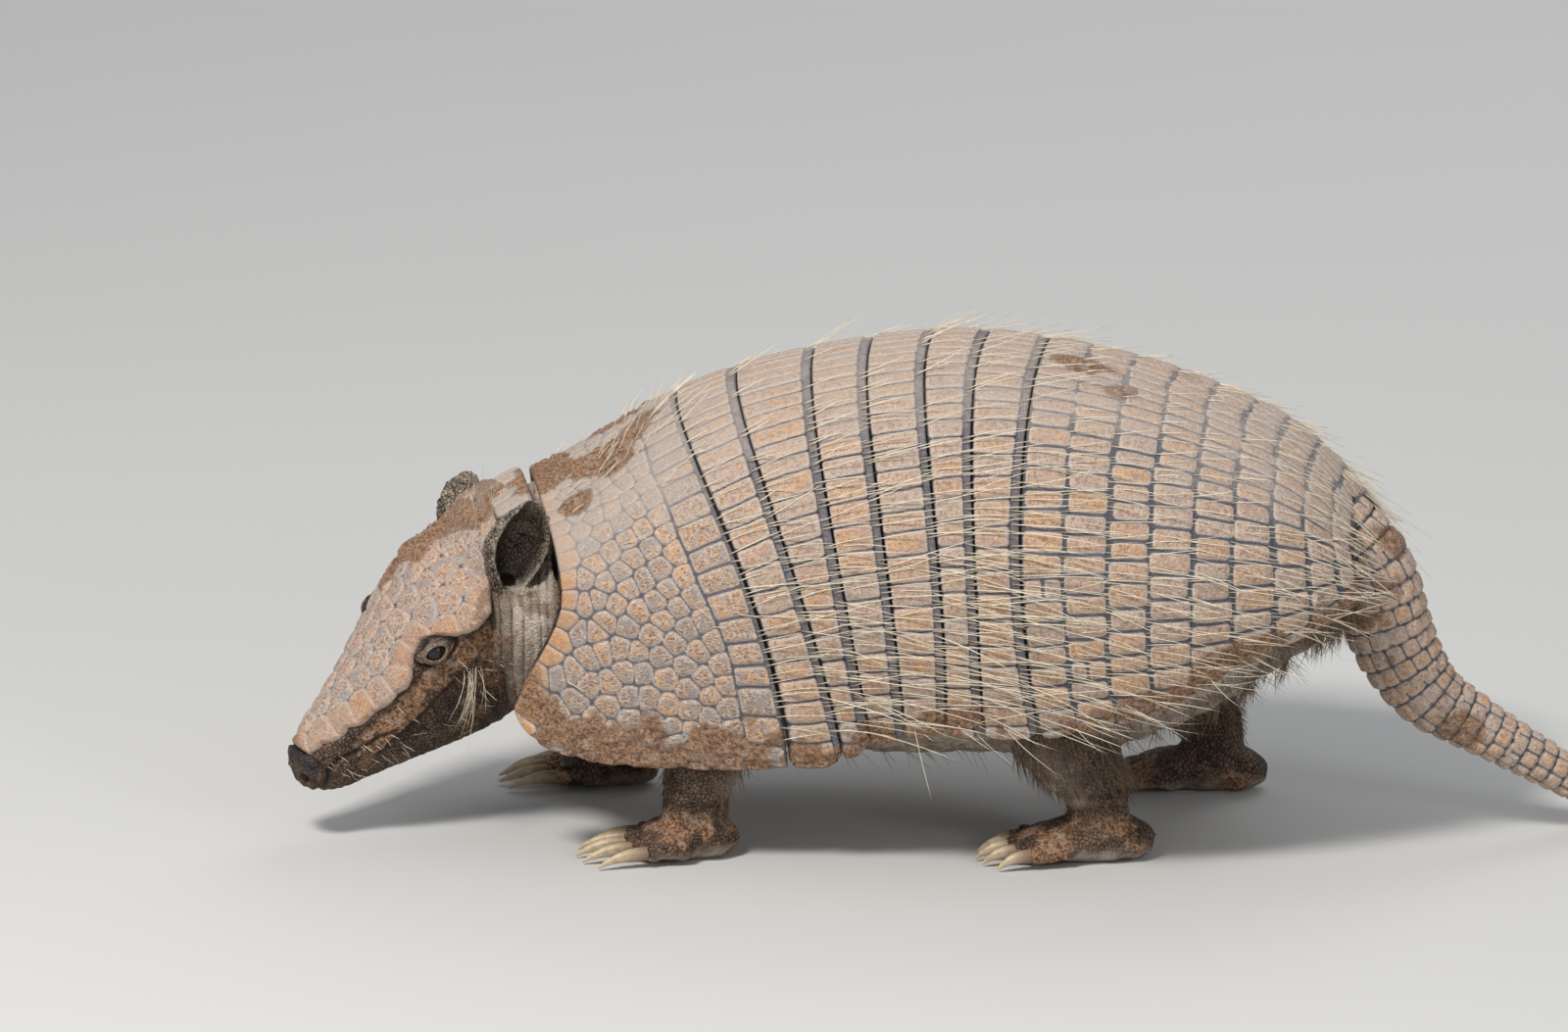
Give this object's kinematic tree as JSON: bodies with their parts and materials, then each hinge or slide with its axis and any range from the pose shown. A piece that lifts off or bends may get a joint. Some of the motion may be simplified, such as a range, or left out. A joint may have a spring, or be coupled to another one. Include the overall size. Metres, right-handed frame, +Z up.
{
  "type": "yellow armadillo",
  "caption": "Armadillo standing with its head down, with a banded shell, a plated head, clawed feet and a ringed tail, as a still model.",
  "frame": {"origin": "on the floor, under the middle of the model's box", "axes": "+Z up, -X towards the head, +X towards the tail, -Y the animal's left side"},
  "size_m": [0.5474, 0.1914, 0.1822],
  "materials": {
    "armour": "dry horny plates, dusty ochre with grey grooves",
    "tail_scale": "rings of dry horny scales",
    "skin": "matt wrinkled brown skin with sparse pale hair",
    "ear_skin": "matt pebbled grey-brown skin",
    "eye": "wet, near black",
    "claw": "dull horn"
  },
  "bodies": {
    "root": {"scapular_shield": "armour", "band_1": "armour", "band_2": "armour", "band_3": "armour", "band_4": "armour", "band_5": "armour", "band_6": "armour", "pelvic_shield": "armour", "neck_band": "armour", "head_shield": "armour", "head": "skin", "neck": "skin", "ear_left": "ear_skin", "eye_left": "eye", "ear_right": "ear_skin", "eye_right": "eye", "trunk": "skin", "leg_front_left": "skin", "foot_front_left": "skin", "claw_front_left_1": "claw", "claw_front_left_2": "claw", "claw_front_left_3": "claw", "claw_front_left_4": "claw", "claw_front_left_5": "claw", "leg_front_right": "skin", "foot_front_right": "skin", "claw_front_right_1": "claw", "claw_front_right_2": "claw", "claw_front_right_3": "claw", "claw_front_right_4": "claw", "claw_front_right_5": "claw", "leg_hind_left": "skin", "foot_hind_left": "skin", "claw_hind_left_1": "claw", "claw_hind_left_2": "claw", "claw_hind_left_3": "claw", "claw_hind_left_4": "claw", "claw_hind_left_5": "claw", "leg_hind_right": "skin", "foot_hind_right": "skin", "claw_hind_right_1": "claw", "claw_hind_right_2": "claw", "claw_hind_right_3": "claw", "claw_hind_right_4": "claw", "claw_hind_right_5": "claw", "tail_1": "tail_scale", "tail_2": "tail_scale", "tail_3": "tail_scale", "tail_4": "tail_scale"}
  },
  "joints": []
}
